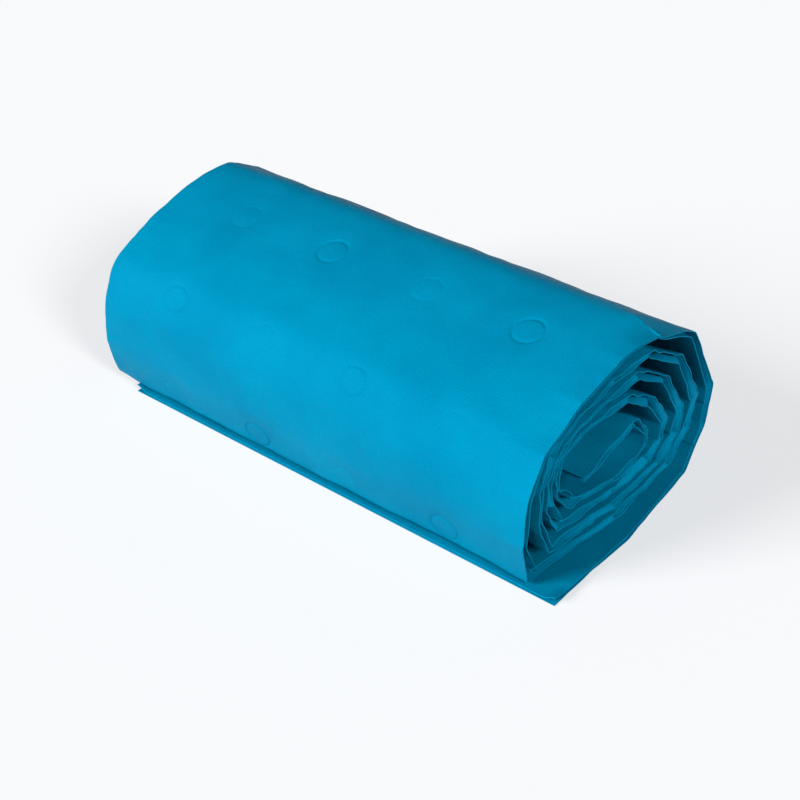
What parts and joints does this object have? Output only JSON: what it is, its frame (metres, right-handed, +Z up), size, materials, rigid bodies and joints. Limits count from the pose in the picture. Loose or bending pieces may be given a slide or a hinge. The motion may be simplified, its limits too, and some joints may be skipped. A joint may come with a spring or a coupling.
{
  "type": "rolled inflatable air mat",
  "caption": "Deflated inflatable gymnastics mat of blue coated fabric, rolled up for storage, with folded side walls, inner tie strips and a capped air valve.",
  "frame": {"origin": "centre of the bounding box's underside, on the floor the roll rests on", "axes": "+X along the roll's axis towards the end where the last turn stands out, +Y towards the back where the mat unrolls, +Z up"},
  "size_m": [0.656, 0.318, 0.238],
  "materials": {
    "coated_fabric": "satin PVC coating over a fine woven scrim, cyan blue",
    "tie_fabric": "matt coated webbing, darker blue",
    "valve_plastic": "moulded black plastic, fine satin grain",
    "valve_rubber": "soft black elastomer, matt"
  },
  "bodies": {
    "tail_panel": {"outer_sheet_tail": "coated_fabric", "inner_sheet_tail": "coated_fabric", "left_wall_tail": "coated_fabric", "right_wall_tail": "coated_fabric", "tail_end_wall": "coated_fabric", "tie_strip_01": "tie_fabric"},
    "rear_lower_panel": {"outer_sheet_rear_lower": "coated_fabric", "inner_sheet_rear_lower": "coated_fabric", "left_wall_rear_lower": "coated_fabric", "right_wall_rear_lower": "coated_fabric", "tie_strip_02": "tie_fabric"},
    "rear_upper_panel": {"outer_sheet_rear_upper": "coated_fabric", "inner_sheet_rear_upper": "coated_fabric", "left_wall_rear_upper": "coated_fabric", "right_wall_rear_upper": "coated_fabric"},
    "roll": {"outer_sheet_roll": "coated_fabric", "inner_sheet_roll": "coated_fabric", "left_wall_roll": "coated_fabric", "right_wall_roll": "coated_fabric", "core_end_wall": "coated_fabric", "tie_strip_03": "tie_fabric", "tie_strip_04": "tie_fabric", "tie_strip_05": "tie_fabric", "tie_strip_06": "tie_fabric", "tie_strip_07": "tie_fabric", "tie_strip_08": "tie_fabric", "tie_strip_09": "tie_fabric", "tie_strip_10": "tie_fabric", "tie_strip_11": "tie_fabric", "tie_strip_12": "tie_fabric", "tie_strip_13": "tie_fabric", "tie_strip_14": "tie_fabric", "tie_strip_15": "tie_fabric", "tie_strip_16": "tie_fabric", "tie_strip_17": "tie_fabric", "tie_strip_18": "tie_fabric", "tie_strip_19": "tie_fabric", "tie_strip_20": "tie_fabric", "tie_strip_21": "tie_fabric", "valve_base": "valve_plastic", "valve_insert": "valve_plastic", "valve_strap": "valve_rubber"},
    "valve_cap": {"valve_cap": "valve_rubber"},
    "valve_flap": {"valve_flap": "valve_rubber"}
  },
  "joints": [
    {"name": "unroll_tail", "type": "hinge", "parent": "tail_panel", "child": "rear_lower_panel", "pos_m": [0, 0.015, 0], "axis": [-1, 0, 0], "range_deg": [0, 15.2]},
    {"name": "unroll_lower", "type": "hinge", "parent": "rear_lower_panel", "child": "rear_upper_panel", "pos_m": [0, 0.107, 0.025], "axis": [-1, 0, 0], "range_deg": [0, 34]},
    {"name": "unroll_upper", "type": "hinge", "parent": "rear_upper_panel", "child": "roll", "pos_m": [0, 0.145, 0.069], "axis": [-1, 0, 0], "range_deg": [0, 23.9]},
    {"name": "valve_cap_hinge", "type": "hinge", "parent": "roll", "child": "valve_cap", "pos_m": [-0.18, 0.13188, 0.18121], "axis": [1, 0, 0], "range_deg": [0, 150]},
    {"name": "valve_flap_lift", "type": "slide", "parent": "roll", "child": "valve_flap", "axis": [0, -0.8751, -0.4839], "range_m": [0, 0.002], "stiffness_N_per_m": 60}
  ]
}
